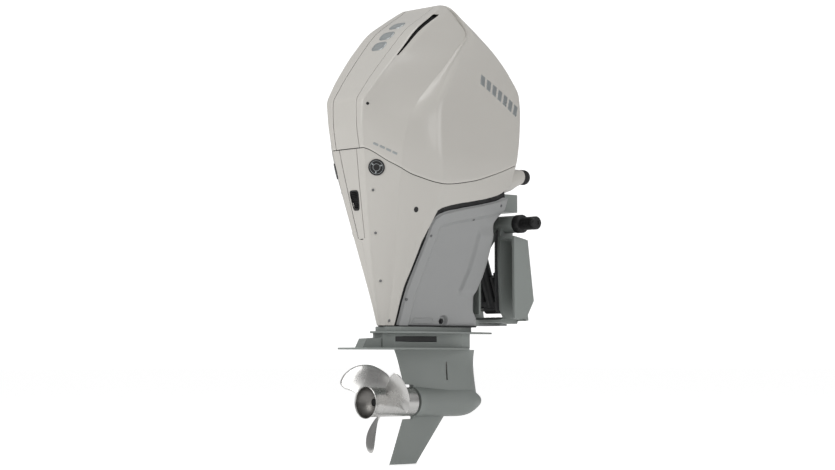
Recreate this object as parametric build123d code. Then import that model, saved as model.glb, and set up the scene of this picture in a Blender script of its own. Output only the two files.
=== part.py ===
from build123d import *
import math
import os

# Row frame: +X towards the bow, +Y to port, +Z up, millimetres.
# The origin is midway between the two upper transom bolts, on the mounting face.

# Driving dimensions
FACE_LEAN = 8.0          # degrees the mounting face leans, lower end forward
UPPER_BOLT_Y = 163.5     # half the upper bolt spacing
LOWER_BOLT_Y = 125.4     # half the lower bolt spacing
BOLT_DROP = 203.2        # upper bolts to lower bolts, along the face
BOLT_R = 6.75
TILT_X, TILT_Z = -42.0, 84.0      # tilt tube axis
STEER_X = -160.0         # king pin axis
SHAFT_X = -267.0         # crankshaft and driveshaft axis
PROP_Z = -608.0          # propeller shaft axis
PLATE_Z = -402.0         # top of the anti-ventilation plate
SKEG_Z = -845.0          # tip of the skeg
WALL = 4.0               # cowling wall
TUBE_R = 20.0            # tilt tube
KING_R = 24.0            # king pin
RUN = 0.06               # radial running clearance
TORPEDO_R = 60.0
BLADE_PITCH = 500.0      # right-handed
BLADE_TURNS = (87, 207, 327)      # degrees clockwise from the top, seen from astern
RAM_FOOT = (0.0, -245.0)          # trim ram's lower pin, X and Z
RAM_HEAD = (-98.0, 30.0)          # trim ram's upper pin
RAM_EYE_R = 18.0         # the eye is opened so that the straight coupling clears the pin
DOOR_HALVES = [(66.0, 300.0), (66.0, 511.0), (84.0, 760.0), (84.0, 870.0), (78.0, 940.0)]
DOOR_FRONT_X = -372.0    # the service door's half widths with Z, and its front edge
EXHAUST_BOX = (-400.0, -330.0, -34.0, 34.0)    # exhaust passage, X and Y
BADGE_PLACE = (-735.0, 107.5, 268.0)      # middle of the port badge
BADGE_FACING = (-0.79, 0.60, -0.13)
BADGE_R = 31.0

# Cowling stations: Z, then X and half width of the tail corner, the quarter crease,
# the shoulder crease and the cheek, then X of the nose.
LOWER_STATIONS = [
    (-320, (-622, 6), (-598, 28), (-552, 52), (-172, 86), -150),
    (-178, (-661, 18), (-606, 60), (-552, 92), (-158, 104), -130),
    (-48, (-694, 35), (-624, 94), (-550, 130), (-146, 134), -112),
    (52, (-717, 50), (-640, 122), (-546, 172), (-130, 164), -95),
    (156, (-740, 65), (-656, 151), (-530, 224), (-107, 185), -57),
    (252, (-760, 77), (-671, 179), (-528, 253), (-92, 195), -34),
    (342, (-777, 88), (-678, 199), (-545, 262), (-70, 203), -20),
    (440, (-792, 96), (-662, 209), (-546, 261), (-60, 206), -12),
    (511, (-794, 104), (-617, 207), (-535, 254), (-57, 206), -10),
]
UPPER_STATIONS = [
    (511, (-794, 104), (-617, 207), (-535, 254), (-57, 206), -10),
    (579, (-755, 120), (-550, 200), (-490, 241), (-62, 205), -18),
    (660, (-692, 138), (-462, 192), (-424, 218), (-116, 202), -56),
    (735, (-628, 150), (-390, 184), (-362, 195), (-180, 190), -118),
    (808, (-560, 150), (-326, 170), (-316, 174), (-256, 170), -208),
    (870, (-472, 138), (-356, 146), (-349, 148), (-318, 144), -292),
    (902, (-424, 122), (-372, 126), (-366, 127), (-342, 123), -324),
    (922, (-400, 92), (-376, 94), (-370, 94), (-356, 91), -342),
]
NOSE_SHARE = 0.55        # flat part of the nose, as a share of the cheek's half width

# Seam between top cowl and lower cowl, X and Z
SEAM = [(-900, 345), (-790, 345), (-703, 287), (-621, 240), (-507, 213), (-361, 230),
        (-175, 279), (-60, 318), (60, 350)]
SEAM_GAP = 3.0
# Lower edge of the lower cowl, from the tail forward
LOWER_EDGE = [(-584, -330), (-577, -185), (-560, -80), (-543, 32), (-535, 88), (-517, 118),
              (-487, 131), (-338, 158), (-211, 180), (-165, 194), (-105, 225), (60, 262)]
# Outline of a mid cover seen from the side
COVER_OUTLINE = [(-568, -318), (-560, -185), (-541, -80), (-524, 30), (-510, 76), (-490, 102),
                 (-462, 117), (-210, 164), (-112, 184), (-100, 178), (-116, 135), (-166, 96),
                 (-158, 48), (-164, -18), (-208, -197), (-201, -255), (-186, -281), (-148, -318)]
BOSS_Y, BOSS_Z = 150.0, 272.0             # cable entry boss on the lower cowl's front
BOSS_TIP_X = -4.0
COVER_SCREWS = [(-508, 20, 139), (-546, -150, 84), (-330, 100, 178), (-150, 150, 175)]
REAR_PANEL = [(18.0, 4.0), (55.0, 400.0)]    # half width at its foot and past the seam, with Z
REAR_GRILLE = [(17.0, 112.0), (26.0, 188.0)]
# Propeller blade sections: radius, chord, thickness, middle's X and skew in degrees
BLADE_STATIONS = [(44, 92, 15, -580, 0), (75, 126, 12, -590, 3), (110, 146, 9, -607, 7),
                  (145, 144, 7, -627, 13), (172, 114, 5, -643, 19), (188, 66, 4, -652, 24)]


# ---- small building helpers ----
def block(x0, x1, y0, y1, z0, z1):
    return Pos((x0 + x1) / 2, (y0 + y1) / 2, (z0 + z1) / 2) * Box(x1 - x0, y1 - y0, z1 - z0)


def post(r, z0, z1, x=SHAFT_X, y=0.0):
    return Pos(x, y, (z0 + z1) / 2) * Cylinder(r, z1 - z0)


def bar_y(r, y0, y1, x, z):
    return Pos(x, (y0 + y1) / 2, z) * Rot(90, 0, 0) * Cylinder(r, y1 - y0)


def bar_x(r, x0, x1, y=0.0, z=PROP_Z):
    return Pos((x0 + x1) / 2, y, z) * Rot(0, 90, 0) * Cylinder(r, x1 - x0)


def side_plate(outline, y0, y1):
    face = Face(Wire(Polyline(*[(x, y0, z) for x, z in outline], close=True)))
    return extrude(face, amount=y1 - y0, dir=(0, 1, 0))


def plan_plate(outline, z0, z1):
    face = Face(Wire(Polyline(*[(x, y, z0) for x, y in outline], close=True)))
    return extrude(face, amount=z1 - z0, dir=(0, 0, 1))


def mirrored(half):
    return half + [(x, -y) for x, y in reversed(half) if abs(y) > 1e-6]


def both_sides(shape):
    return [shape, mirror(shape, about=Plane.XZ)]


def group(shapes):
    solids = [solid for shape in shapes for solid in shape.solids()]
    return Compound(children=solids)


def biggest(shape):
    return max(shape.solids(), key=lambda solid: solid.volume)


# ---- cowlings ----
def station_outline(station):
    tail, quarter, shoulder, cheek, nose_x = station[1:]
    return mirrored([tail, quarter, shoulder, cheek, (nose_x, cheek[1] * NOSE_SHARE)])


def inset_outline(outline, depth):
    """The outline moved inwards by depth, with its corners kept sharp."""
    moved = []
    count = len(outline)
    for i in range(count):
        before, here, after = outline[i - 1], outline[i], outline[(i + 1) % count]
        in_dir = (here[0] - before[0], here[1] - before[1])
        out_dir = (after[0] - here[0], after[1] - here[1])
        in_len, out_len = math.hypot(*in_dir), math.hypot(*out_dir)
        n1 = (in_dir[1] / in_len, -in_dir[0] / in_len)
        n2 = (out_dir[1] / out_len, -out_dir[0] / out_len)
        share = depth / (1 + n1[0] * n2[0] + n1[1] * n2[1])
        moved.append((here[0] + share * (n1[0] + n2[0]), here[1] + share * (n1[1] + n2[1])))
    return moved


def hull(depth):
    """The cowlings' outer form, moved inwards by depth."""
    parts = []
    for stations in (LOWER_STATIONS, UPPER_STATIONS):
        faces = []
        for station in stations:
            z = station[0]
            if station is UPPER_STATIONS[-1]:
                z -= depth
            points = inset_outline(station_outline(station), depth)
            faces.append(Face(Wire(Polyline(*[(x, y, z) for x, y in points], close=True))))
        parts.append(Solid(loft(faces).solids()[0].wrapped))
    return parts[0] + parts[1]


def below_seam(drop):
    """Everything under the cowl seam, lowered by drop."""
    curve = Spline(*[(x, -500, z - drop) for x, z in SEAM])
    rest = Polyline(curve @ 1, (60, -500, -500), (-900, -500, -500), curve @ 0)
    return extrude(Face(Wire([*curve.edges(), *rest.edges()])), amount=1000, dir=(0, 1, 0))


def under_lower_edge():
    """The space under and ahead of the lower cowl's edge."""
    return side_plate(LOWER_EDGE + [(60, -420), (-584, -420)], -400, 400)


def cowl_parts():
    shell = hull(0) - hull(WALL)
    below = below_seam(SEAM_GAP)
    top = shell - below_seam(0)
    door_space = band_space(DOOR_HALVES, 2, DOOR_FRONT_X + 2)
    slot = air_slots()
    grilles = (hull(WALL) - hull(WALL + 3)) & air_slots(6)
    cowl = biggest(top - door_space - slot)
    door = biggest(top & band_space(DOOR_HALVES, 0, DOOR_FRONT_X))
    low = (shell & below) - under_lower_edge()
    panel = biggest(low & band_space(REAR_PANEL, 0, -500)) - band_space(REAR_GRILLE, 0, -700)
    low = low - band_space(REAR_PANEL, 1, -500)
    for sign in (1, -1):
        low -= badge(sign, BADGE_R + 0.4, -12, 12)
        low -= bar_x(25.6, -110, -20, sign * BOSS_Y, BOSS_Z)
    boss = bar_x(29, -88, BOSS_TIP_X, -BOSS_Y, BOSS_Z) - hull(0)
    low += boss - bar_x(25.6, -110, 10, -BOSS_Y, BOSS_Z)
    port = biggest(low & block(-900, 100, 0.5, 400, -400, 400))
    starboard = biggest(low & block(-900, 100, -400, -0.5, -400, 400))
    switch_hole = block(-268, -232, 150, 260, 203, 227)
    cover_space = side_plate(COVER_OUTLINE, 20, 400) - block(-240, -100, 0, 60, -330, -200)
    for x, z, y0 in COVER_SCREWS:
        cover_space -= bar_y(5.0, y0 - 2, 300, x, z)
    covers = [biggest(shell & cover_space), biggest(shell & mirror(cover_space, about=Plane.XZ))]
    seal = (hull(WALL + 0.4) - hull(WALL + 9)) & below_seam(-6) - below_seam(14)
    for sign in (1, -1):
        seal -= badge(sign, BADGE_R + 0.4, -16, 12)
    return {
        "cowl_shell": cowl,
        "service_door": door,
        "rear_panel": panel,
        "lower_cowl_port": port - switch_hole,
        "lower_cowl_starboard": starboard,
        "mid_cover_port": covers[0],
        "mid_cover_starboard": covers[1],
        "cowl_seal": biggest(seal),
        "air_slot_grilles": group(grilles.solids()),
    }


def band_space(halves, gap, front_x):
    """A region about the middle plane, from the tail to front_x: half widths with Z, widened by gap."""
    outline = [(half + gap, z) for half, z in halves]
    outline[0] = (outline[0][0], outline[0][1] - gap)
    outline += [(-y, z) for y, z in reversed(outline)]
    face = Face(Wire(Polyline(*[(-900, y, z) for y, z in outline], close=True)))
    return extrude(face, amount=front_x + 900, dir=(1, 0, 0))


def air_slots(spread=0):
    """Air intakes on the flanks, just ahead of the roof's corners; spread widens them all round."""
    aft = [(-664, 690), (-622, 735), (-553, 808), (-468, 866)]
    ahead = [(-442, 866), (-530, 808), (-608, 735), (-660, 690)]
    outline = [(x - spread, z) for x, z in aft] + [(x + spread, z) for x, z in ahead]
    outer = side_plate(outline, -185, -120)
    return outer + mirror(outer, about=Plane.XZ)


# ---- transom bracket ----
def clamp_bracket():
    """Port half of the transom bracket: flange, inner web, outer wall, bridge and tilt boss."""
    flange = Rot(0, -FACE_LEAN, 0) * block(-16, 0, 98, 190, -296, 22)
    web = side_plate([(-74, 84), (-80, 20), (-82, -60), (-72, -250), (-48, -288), (34, -290),
                      (-8, 27), (-8, 84)], 98, 112)
    wall = side_plate([(-80, 36), (-11, 23), (-3, 9), (29, -219), (-12, -286), (-54, -292),
                       (-78, -285)], 178, 190)
    bridge = side_plate([(-80, 36), (-11, 23), (-11, 17), (-80, 26)], 105, 180)
    boss = bar_y(34, 98, 170, TILT_X, TILT_Z)
    bracket = flange + web + wall + bridge + boss
    corner = side_plate([(60, -400), (60, -150), (29, -219), (-12, -286), (-60, -310)], 150, 200)
    bracket = bracket - corner - bar_y(TUBE_R, 90, 175, TILT_X, TILT_Z)
    bracket = bracket - bar_y(10, 90, 120, *RAM_FOOT)
    for y, drop in ((UPPER_BOLT_Y, 0), (LOWER_BOLT_Y, BOLT_DROP)):
        hole = Pos(-10, y, -drop) * Rot(0, 90, 0) * Cylinder(BOLT_R, 60)
        bracket -= Rot(0, -FACE_LEAN, 0) * hole
    return biggest(bracket)


def tilt_tube():
    tube = bar_y(TUBE_R, -170, 170, TILT_X, TILT_Z)
    return tube - bar_y(14, -180, 180, TILT_X, TILT_Z)


def steering_cylinder():
    """Power steering actuator on the tilt tube's starboard end, and the port end nut."""
    actuator = bar_y(36, -203, -170, TILT_X, TILT_Z) + bar_y(26, -276, -203, TILT_X, TILT_Z)
    actuator += bar_y(21, -280, -276, TILT_X, TILT_Z)
    nut = bar_y(27, 170, 186, TILT_X, TILT_Z) + bar_y(20, 186, 200, TILT_X, TILT_Z)
    return group([actuator, nut])


def lower_tie_casting():
    tie = side_plate([(-66, -290), (-60, -300), (-20, -306), (30, -306), (36, -292), (30, -284),
                      (-40, -280)], -98, 98)
    for x in (-40, -12):
        for y in (-75, -45, -15, 15, 45, 75):
            tie -= post(8, -320, -270, x, y)
    return tie


def bracket_anode():
    return block(-30, 10, -60, 60, -314, -306.2) - post(5, -320, -300, -10, 0)


# ---- power trim ----
def along_ram(start, end, r, y=0.0):
    """A cylinder on the trim ram's line, measured from its lower pin."""
    dx, dz = RAM_HEAD[0] - RAM_FOOT[0], RAM_HEAD[1] - RAM_FOOT[1]
    lean = math.degrees(math.atan2(dx, dz))
    place = Pos(RAM_FOOT[0], y, RAM_FOOT[1]) * Rot(0, lean, 0)
    return place * Pos(0, 0, (start + end) / 2) * Cylinder(r, end - start)


def ram_length():
    return math.dist(RAM_FOOT, RAM_HEAD)


def trim_cylinder_barrel():
    eye = bar_y(20, -40, 40, *RAM_FOOT)
    dx, dz = RAM_HEAD[0] - RAM_FOOT[0], RAM_HEAD[1] - RAM_FOOT[1]
    lean = math.degrees(math.atan2(dx, dz))
    manifold = Pos(RAM_FOOT[0], 0, RAM_FOOT[1]) * Rot(0, lean, 0) * block(-16, 16, -88, 88, 12, 34)
    barrel = eye + manifold + along_ram(10, 205, 25)
    barrel = barrel - along_ram(36, 190, 19.2) - along_ram(180, 230, 9.06)
    return biggest(barrel - bar_y(10 + RUN, -60, 60, *RAM_FOOT))


def trim_pump_motor():
    return along_ram(34, 140, 29, 60) + along_ram(140, 150, 18, 60)


def trim_fluid_reservoir():
    return along_ram(34, 138, 29, -60) + along_ram(138, 150, 12, -60)


def trim_rod():
    end = ram_length()
    piston = along_ram(52, 72, 19.1)
    rod = along_ram(60, end - 16, 9)
    eye = bar_y(RAM_EYE_R + 5, -13, 13, *RAM_HEAD)
    return biggest((piston + rod + eye) - bar_y(RAM_EYE_R, -20, 20, *RAM_HEAD))


# ---- swivel bracket ----
def swivel_bracket():
    tube = post(34, -285, 104, STEER_X)
    lug = bar_y(34, -96, 96, TILT_X, TILT_Z)
    arm = [(-44, 116), (-14, 66), (-84, -20), (-130, -120), (-165, -120), (-165, 96), (-120, 104)]
    plates = [side_plate(arm, 29, 54), side_plate(arm, -54, -29)]
    web = block(-150, -136, -90, 90, -80, 98) + block(-146, -134, -60, 60, -270, -80)
    bracket = tube + lug + plates[0] + plates[1] + web
    bracket = bracket - bar_y(TUBE_R + RUN, -100, 100, TILT_X, TILT_Z) - post(30, -300, 120, STEER_X)
    bracket = bracket - bar_y(7, -70, 70, *RAM_HEAD) - bar_y(6, 30, 60, -100, -20)
    return biggest(bracket)


def swivel_bushings():
    rings = []
    for z0, z1 in ((-285, -225), (44, 104)):
        rings.append(post(30, z0, z1, STEER_X) - post(KING_R + RUN, z0 - 1, z1 + 1, STEER_X))
    return group(rings)


def tilt_lock_lever():
    outline = [(-110, -12), (-90, -12), (-86, -30), (-92, -88), (-104, -92), (-112, -60)]
    lever = side_plate(outline, 56, 64) + bar_y(11, 55, 66, -100, -20) + bar_y(5.94, 37, 55, -100, -20)
    return biggest(lever)


# ---- midsection ----
def steering_yoke():
    """Upper yoke, steering arm block and king pin, in one forging."""
    rear = block(-197, -112, -68, 68, 112, 158)
    arm = plan_plate([(-165, -62), (-96, -110), (20, -110), (35, -96), (35, 96), (20, 110),
                      (-96, 110), (-165, 62)], 136, 205)
    pin = post(KING_R, -300, 120, STEER_X)
    yoke = rear + arm + pin
    for y in (-88, 88):
        yoke -= bar_x(9, 12, 40, y, 172)
    return biggest(yoke)


def lower_yoke():
    yoke = block(-197, -130, -42, 42, -316, -292)
    return yoke - post(KING_R, -330, -280, STEER_X)


def mount_rubbers():
    upper = [bar_x(17, -205, -197, y, 130) for y in (-48, 48)]
    lower = [bar_x(9, -205, -197, y, -304) for y in (-28, 28)]
    return group(upper + lower)


def driveshaft_housing():
    faces = []
    for z, x0, half in ((-320, -420, 46), (-60, -450, 62), (150, -470, 80)):
        faces.append(Face(Wire(Polyline((x0, -half, z), (-205, -half, z), (-205, half, z),
                                        (x0, half, z), close=True))))
    body = Solid(loft(faces, ruled=True).solids()[0].wrapped)
    sump = block(-600, -440, -62, 62, 20, 150)
    body = body + sump
    body = body - post(44, -330, -272) - post(17, -280, 160)
    body = body - block(*EXHAUST_BOX, -330, 160) - block(-585, -500, -50, 50, 40, 160)
    return biggest(body - post(5.5, -330, 160, -218))


def adapter_plate():
    plate = plan_plate([(-610, -85), (-560, -112), (-205, -112), (-205, 112), (-560, 112), (-610, 85)],
                       150, 170)
    return plate - post(17, 140, 180) - post(5.5, 140, 180, -218) - block(*EXHAUST_BOX, 140, 180)


def splash_plate():
    """Thin spray plate with the dark adapter rim above it."""
    blade = plan_plate(mirrored([(-654, 12), (-600, 62), (-480, 98), (-300, 98), (-120, 52), (-22, 8)]),
                       -347, -340)
    rim = plan_plate(mirrored([(-606, 34), (-560, 56), (-420, 66), (-260, 66), (-172, 44)]), -340, -322)
    plate = blade + rim
    return plate - post(44, -360, -300) - post(5.5, -360, -300, -218) - block(*EXHAUST_BOX, -360, -300)


# ---- powerhead ----
def bank_block(side, r0, r1, half, z0, z1):
    """A box on one cylinder bank's line, from r0 to r1 out of the crankshaft axis."""
    return Pos(SHAFT_X, 0, 0) * Rot(0, 0, 180 - side * 32) * block(r0, r1, -half, half, z0, z1)


def crankcase():
    block_body = block(-360, -178, -104, 104, 170, 560)
    for side in (1, -1):
        block_body += bank_block(side, 40, 290, 52, 180, 545)
    block_body -= post(76, 184, 552)
    block_body -= post(25 + RUN, 160, 570)
    for side in (1, -1):
        for z in (232, 318, 404, 490):
            bore = Pos(SHAFT_X, 0, z) * Rot(0, 0, 180 - side * 32) * Pos(170, 0, 0) * Rot(0, 90, 0)
            block_body -= bore * Cylinder(38, 241)
    return biggest(block_body - post(5.5, 160, 180, -218))


def cylinder_head(side):
    head = bank_block(side, 290, 340, 52, 200, 522)
    cover = bank_block(side, 340, 352, 38, 214, 508)
    return biggest(head + cover)


def intake_plenum():
    plenum = block(-672, -500, -56, 56, 228, 488)
    throat = post(38, 488, 520, -590)
    return biggest(plenum + throat - post(32, 480, 530, -590) - block(-664, -510, -48, 48, 236, 480))


def crankshaft():
    shaft = post(25, 178, 575)
    for z, turn in ((205, 0), (290, 90), (376, 270), (462, 180)):
        for dz in (0, 46):
            web = post(50, z + dz, z + dz + 12, SHAFT_X + 14 * math.cos(math.radians(turn)),
                       14 * math.sin(math.radians(turn)))
            shaft += web
        x = SHAFT_X + 40 * math.cos(math.radians(turn))
        y = 40 * math.sin(math.radians(turn))
        shaft += post(21, z, z + 58, x, y)
    return biggest(shaft)


def flywheel():
    wheel = post(118, 575, 597) + post(42, 597, 612)
    groove = post(130, 582, 590) - post(112, 582, 590)
    return wheel - groove


def driveshaft():
    return post(11, -556, 178)


def oil_filter():
    return post(37, 244, 336, -136) + block(-178, -150, -20, 20, 262, 318) - post(30, 250, 330, -136)


def starter_motor():
    return post(36, 400, 520, -126, -104) + post(16, 520, 548, -126, -104) \
        + block(-178, -140, -128, -80, 430, 490)


def alternator_housing():
    shell = post(52, 452, 560, -118, 104) - post(44, 460, 570, -118, 104)
    shell += block(-178, -150, 84, 124, 480, 540)
    return biggest(shell - post(44, 460, 570, -118, 104) - post(9 + RUN, 440, 470, -118, 104))


def alternator_rotor():
    return post(42, 464, 556, -118, 104) + post(9, 453, 590, -118, 104) + post(30, 566, 590, -118, 104)


# ---- gearcase ----
def lens(chord_x0, chord_x1, half, z):
    """A pointed oval section, blunter at its forward end."""
    length = chord_x1 - chord_x0
    points = []
    for share, width in ((0.0, 0.04), (0.2, 0.52), (0.45, 0.9), (0.7, 1.0), (0.9, 0.68), (1.0, 0.0)):
        points.append((chord_x0 + share * length, half * width, z))
    port = Spline(*points)
    starboard = Spline(*[(x, -y, z) for x, y, z in reversed(points)])
    tail = Line(starboard @ 1, port @ 0)
    return Face(Wire([*port.edges(), *starboard.edges(), *tail.edges()]))


def torpedo():
    nose_x, full_x, tail_x = -86.0, -230.0, -450.0
    outline = [Line((tail_x, 0, PROP_Z), (tail_x, 0, PROP_Z + 57)),
               Line((tail_x, 0, PROP_Z + 57), (full_x, 0, PROP_Z + TORPEDO_R)),
               Spline((full_x, 0, PROP_Z + TORPEDO_R), (-150, 0, PROP_Z + 50), (-104, 0, PROP_Z + 27),
                      (nose_x, 0, PROP_Z), tangents=[(1, 0, 0), (0, 0, -1)]),
               Line((nose_x, 0, PROP_Z), (tail_x, 0, PROP_Z))]
    face = Face(Wire([edge for part in outline for edge in part.edges()]))
    return revolve(face, axis=Axis((0, 0, PROP_Z), (1, 0, 0)))


def gearcase_housing():
    strut = loft([lens(-540, -112, 37, -409), lens(-505, -116, 36, -500), lens(-474, -104, 42, -575),
                  lens(-452, -100, 40, PROP_Z)])
    skeg = loft([lens(-472, -231, 12, PROP_Z), lens(-565, -427, 4, SKEG_Z)], ruled=True)
    neck = plan_plate(mirrored([(-624, 28), (-580, 48), (-420, 60), (-240, 60), (-176, 40), (-156, 14)]),
                      PLATE_Z, -347)
    fairing = side_plate([(-720, PLATE_Z), (-700, -368), (-620, -364), (-620, PLATE_Z)], -22, 22)
    plate = plan_plate(mirrored([(-782, 36), (-752, 84), (-660, 108), (-480, 112), (-300, 92),
                                 (-190, 52), (-154, 16)]), PLATE_Z - 7, PLATE_Z)
    body = Solid(strut.solids()[0].wrapped) + torpedo() + Solid(skeg.solids()[0].wrapped)
    body = body + neck + fairing + plate
    for outer in both_sides(block(-580, -374, 50, 70, -380, -358)):
        body -= outer
    cavity = bar_x(46, -460, -210) + bar_x(30, -215, -188)
    body = body - cavity - bar_x(66, -700, -451.5) - post(20.5, PROP_Z + 20, -430) - post(14, -440, -340)
    body = body - post(5.5, PROP_Z, -340, -218)
    for slit in water_slits():
        body -= slit
    return biggest(body)


def water_slits():
    """Pockets for the cooling water screens, one on each flank of the strut."""
    return both_sides(block(-300, -293, 24, 60, -526, -456))


def water_inlet_screens():
    screens = []
    for side in (1, -1):
        y = sorted((side * 24.0, side * 31.0))
        screen = block(-299.6, -293.4, y[0], y[1], -525.5, -456.5)
        for z in range(-520, -462, 10):
            screen -= block(-298.2, -294.8, -40, 40, z, z + 4)
        screens.append(screen)
    return group(screens)


def ring_x(r_in, r_out, x0, x1):
    return bar_x(r_out, x0, x1) - bar_x(r_in, x0 - 1, x1 + 1)


def bearing_carrier():
    return ring_x(32, 46, -449, -330)


def gearcase_bearings():
    rear = ring_x(12 + RUN, 32, -440, -424)
    gear = ring_x(22 + RUN, 32, -348, -334)
    nose = ring_x(20 + RUN, 30, -206, -190)
    upper = post(20.5, -548, -532) - post(11 + RUN, -549, -531)
    return group([rear, gear, nose, upper])


def pinion_gear():
    cone = Pos(SHAFT_X, 0, PROP_Z + 31.85) * Cone(13.5, 20.1, 12.3)
    return cone + post(15, PROP_Z + 38, -556) - post(11, -556, -540)


def ring_gear(facing):
    """Forward gear for facing 1, reverse gear for facing -1, as pitch cones."""
    cone = Pos(SHAFT_X + facing * 17.6, 0, PROP_Z) * Rot(0, facing * 90, 0) * Cone(25.2, 37.6, 6.6)
    disc = sorted((SHAFT_X + facing * 20.9, SHAFT_X + facing * 32))
    shape = cone + bar_x(37.6, *disc)
    return shape


def forward_gear():
    gear = ring_gear(1) + bar_x(20, SHAFT_X + 32, -191)
    return gear - bar_x(12, -400, -180)


def reverse_gear():
    gear = ring_gear(-1) + bar_x(22, -348, SHAFT_X - 32)
    return gear - bar_x(12 + RUN, -400, -180)


def clutch_dog():
    return ring_x(12, 18, -275, -256)


def propeller_shaft():
    return bar_x(12, -672, -196)


def pump_impeller():
    wheel = post(17, -315, -285)
    for turn in range(0, 360, 60):
        vane = Pos(SHAFT_X, 0, 0) * Rot(0, 0, turn) * block(14, 30, -2.5, 2.5, -315, -285)
        wheel += vane
    return wheel - post(11, -330, -270)


def water_pump_housing():
    return post(43.5, -346, -274) - post(31, -320, -280) - post(12, -350, -270)


def shift_shaft():
    return post(5, PROP_Z + 46, 146, -218)


# ---- propeller ----
def blade_section(r, chord, thickness, pitch_deg, shift_x, skew_deg):
    """A lens-shaped section across a blade at radius r, on the blade that points up."""
    half, bulge = chord / 2, thickness / 2
    place = Rot(skew_deg, 0, 0) * Pos(shift_x, 0, r) * Rot(0, 0, pitch_deg - 90)
    back = ThreePointArc((-half, 0, 0), (0, bulge, 0), (half, 0, 0))
    front = ThreePointArc((half, 0, 0), (0, -bulge * 0.3, 0), (-half, 0, 0))
    return place * Face(Wire([*back.edges(), *front.edges()]))


def propeller_blade():
    sections = []
    for r, chord, thick, shift, skew in BLADE_STATIONS:
        angle = math.degrees(math.atan2(BLADE_PITCH, 2 * math.pi * r))
        sections.append(blade_section(r, chord, thick, angle, shift, -skew))
    return Solid(loft(sections).solids()[0].wrapped)


def propeller():
    barrel = ring_x(48, 55, -668, -453)
    flare = Pos(-676, 0, PROP_Z) * Rot(0, -90, 0) * Cone(55, 62, 16)
    flare -= Pos(-676, 0, PROP_Z) * Rot(0, -90, 0) * Cone(48, 56, 16.01)
    hub = ring_x(12, 27, -630, -458)
    wheel = barrel + flare + hub
    blade = Pos(0, 0, PROP_Z) * propeller_blade()
    core = bar_x(52, -690, -440)
    blade = biggest(blade - core)
    for turn in BLADE_TURNS:
        turned = Pos(0, 0, PROP_Z) * Rot(turn, 0, 0) * Pos(0, 0, -PROP_Z)
        wheel += turned * blade
        wheel += turned * block(-630, -458, -3, 3, PROP_Z + 25, PROP_Z + 50)
    return biggest(wheel)


def propeller_nut():
    hexagon = Pos(-656, 0, PROP_Z) * Rot(0, 90, 0) * extrude(RegularPolygon(19, 6), amount=14)
    washer = ring_x(12, 24, -634, -630)
    return biggest(hexagon + washer + ring_x(12, 17, -643, -630) - bar_x(12, -700, -600))


# ---- trim and fittings ----
def idle_relief_grille():
    plate = side_plate([(-742, 200), (-734, 200), (-712, 100), (-720, 100)], -30, 30)
    grille = plate & band_space(REAR_GRILLE, -1, -700)
    for y in (-12, -2, 8):
        grille -= block(-800, -700, y, y + 4, 122, 178)
    return grille


def rigging_tube():
    """Rubber boot where cables and hoses enter the cowl, starboard front."""
    tube = bar_x(25.6, -100, BOSS_TIP_X, -BOSS_Y, BOSS_Z)
    lip = bar_x(30, BOSS_TIP_X, BOSS_TIP_X + 16, -BOSS_Y, BOSS_Z)
    return tube + lip - bar_x(19, -120, 20, -BOSS_Y, BOSS_Z)


def port_plug():
    """Blank plug in the unused port-side cable hole."""
    return bar_x(25.6, -84, -60, BOSS_Y, BOSS_Z)


def badge(side, r, inner, outer):
    """A disc square to the quarter panel, from inner to outer about the panel's surface."""
    x, y, z = BADGE_PLACE
    nx, ny, nz = BADGE_FACING
    place = Plane(origin=(x, side * y, z), z_dir=(nx, side * ny, nz))
    return place * Pos(0, 0, (inner + outer) / 2) * Cylinder(r, outer - inner)


def side_badges():
    return group([badge(side, BADGE_R, -4, 2.5) for side in (1, -1)])


def cover_screws():
    """Socket screws on the mid covers' edges."""
    screws = []
    for side in (1, -1):
        for x, z, y0 in COVER_SCREWS:
            y = sorted((side * y0, side * (y0 + 14)))
            screws.append(bar_y(4.9, *y, x, z) - bar_y(2.2, *sorted((side * (y0 + 10), side * (y0 + 15))), x, z))
    return group(screws)


def trim_switch():
    rocker = side_plate([(-265, 205), (-235, 205), (-235, 225), (-265, 225)], 204, 214)
    return rocker + bar_x(3, -262, -238, 203, 215)


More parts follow.
